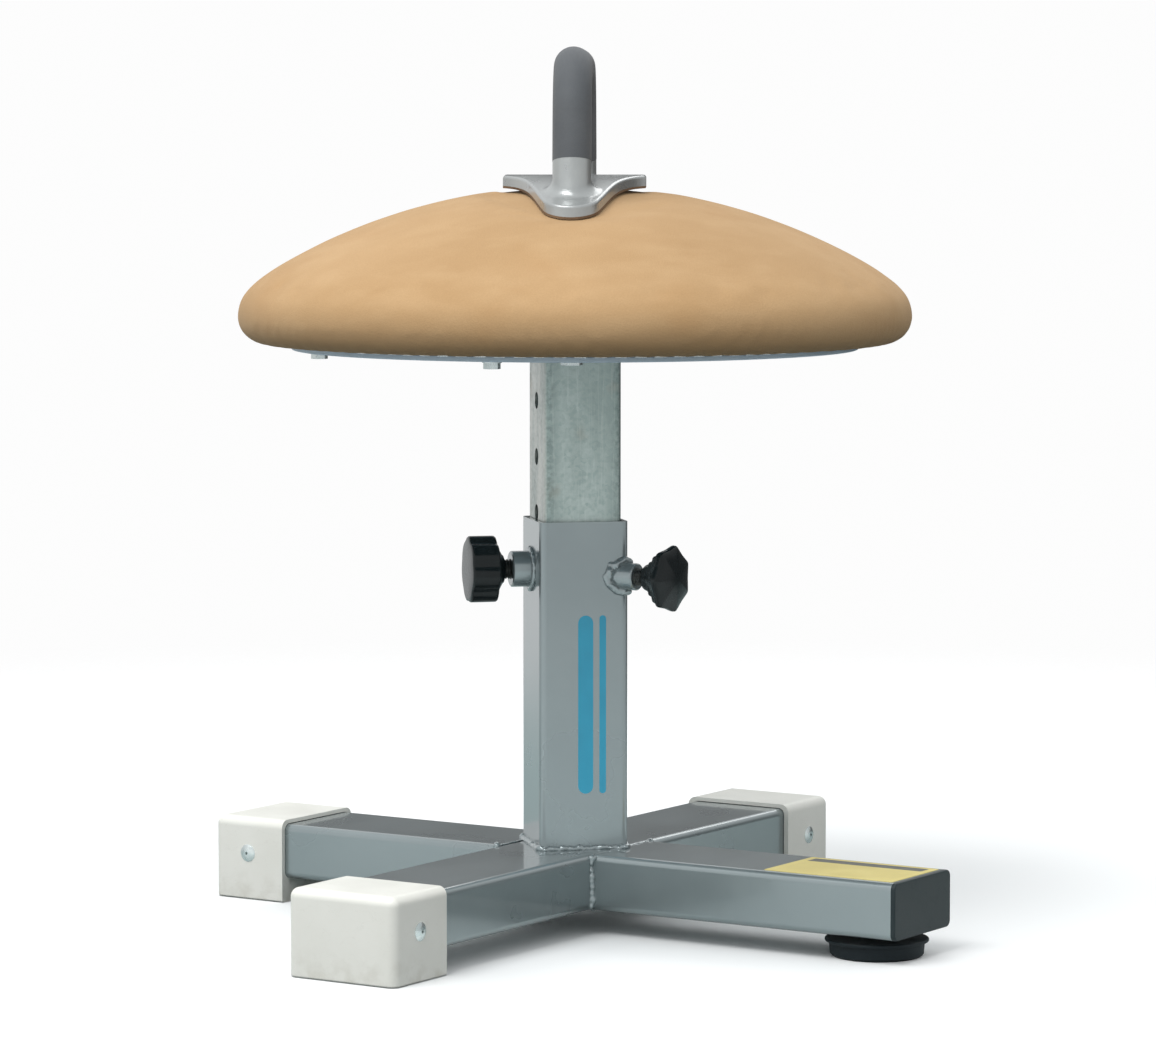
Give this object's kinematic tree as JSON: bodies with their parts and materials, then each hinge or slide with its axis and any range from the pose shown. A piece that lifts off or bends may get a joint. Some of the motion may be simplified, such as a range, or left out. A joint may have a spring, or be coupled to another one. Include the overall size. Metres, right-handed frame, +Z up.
{
  "type": "pommel mushroom trainer",
  "caption": "Height-adjustable gymnastics mushroom: domed suede-covered pad with one pommel on a telescoping square post, with star-knob lock and clamp screws and a cross base.",
  "frame": {"origin": "on the floor under the column's axis", "axes": "+Z up, +X to the right, -Y towards the front face of the column; the legs run along the diagonals"},
  "size_m": [0.6, 0.6, 0.7825],
  "materials": {
    "painted_steel": "gloss",
    "galvanised": "satin",
    "disc_steel": "satin",
    "zinc_fastener": "satin",
    "white_plastic": "satin",
    "black_plastic": "gloss",
    "plug_plastic": "satin",
    "black_rubber": "matte",
    "dark_screw": "satin",
    "label_film": "satin",
    "suede": "matte",
    "foam": "matte",
    "plywood": "matte",
    "hardwood": "matte",
    "cast_aluminium": "satin",
    "underlay": "matte",
    "grip_rubber": "matte"
  },
  "bodies": {
    "base": {"cross_beam": "painted_steel", "beam_stub_front": "painted_steel", "beam_stub_rear": "painted_steel", "column": "painted_steel", "lock_boss": "painted_steel", "clamp_boss": "painted_steel", "foot_cap_front_left": "white_plastic", "foot_cap_rear_left": "white_plastic", "foot_cap_rear_right": "white_plastic", "cap_rivets": "zinc_fastener", "end_plug": "plug_plastic", "leg_label": "label_film", "levelling_nut": "zinc_fastener"},
    "carriage": {"post": "galvanised", "post_plug": "black_plastic", "mounting_disc": "disc_steel", "disc_bolts": "zinc_fastener", "disc_washers": "zinc_fastener", "tee_nuts": "zinc_fastener", "base_board": "plywood", "pommel_block": "hardwood", "foam_core": "foam", "dome_cover": "suede", "pommel_bolts": "zinc_fastener", "pommel_washers": "zinc_fastener", "pommel_base": "cast_aluminium", "pommel_underlay": "underlay", "pommel_core": "galvanised", "pommel_grip": "grip_rubber"},
    "lock_tip": {"lock_pin": "zinc_fastener"},
    "lock_turn": {"lock_screw": "dark_screw", "lock_knob": "black_plastic"},
    "clamp_tip": {"clamp_pad": "zinc_fastener"},
    "clamp_turn": {"clamp_screw": "dark_screw", "clamp_knob": "black_plastic"},
    "foot_pad": {"levelling_pad": "black_rubber"},
    "foot_stud": {"levelling_stud": "zinc_fastener"}
  },
  "joints": [
    {"name": "height_slide", "type": "slide", "parent": "base", "child": "carriage", "axis": [0, 0, 1], "range_m": [-0.15, 0.05]},
    {"name": "lock_travel", "type": "slide", "parent": "base", "child": "lock_tip", "axis": [-1, 0, 0], "range_m": [-0.006, 0.005]},
    {"name": "lock_spin", "type": "hinge", "parent": "lock_tip", "child": "lock_turn", "pos_m": [-0.08, 0, 0.32], "axis": [-1, 0, 0], "range_deg": [-865, 721]},
    {"name": "clamp_travel", "type": "slide", "parent": "base", "child": "clamp_tip", "axis": [0.7071, -0.7071, 0], "range_m": [0, 0.004]},
    {"name": "clamp_spin", "type": "hinge", "parent": "clamp_tip", "child": "clamp_turn", "pos_m": [0.06364, -0.06364, 0.315], "axis": [0.7071, -0.7071, 0], "range_deg": [-1, 721]},
    {"name": "foot_travel", "type": "slide", "parent": "base", "child": "foot_pad", "axis": [0, 0, 1], "range_m": [-0.0105, 0.0035]},
    {"name": "foot_spin", "type": "hinge", "parent": "foot_pad", "child": "foot_stud", "pos_m": [0.2192, -0.2192, 0.03], "axis": [0, 0, 1], "range_deg": [-2161, 721]}
  ],
  "couplings": [
    {"joint": "lock_spin", "follows": "lock_travel", "rad_per_m": 2513.3},
    {"joint": "clamp_spin", "follows": "clamp_travel", "rad_per_m": 3141.6},
    {"joint": "foot_spin", "follows": "foot_travel", "rad_per_m": 3590.4}
  ]
}
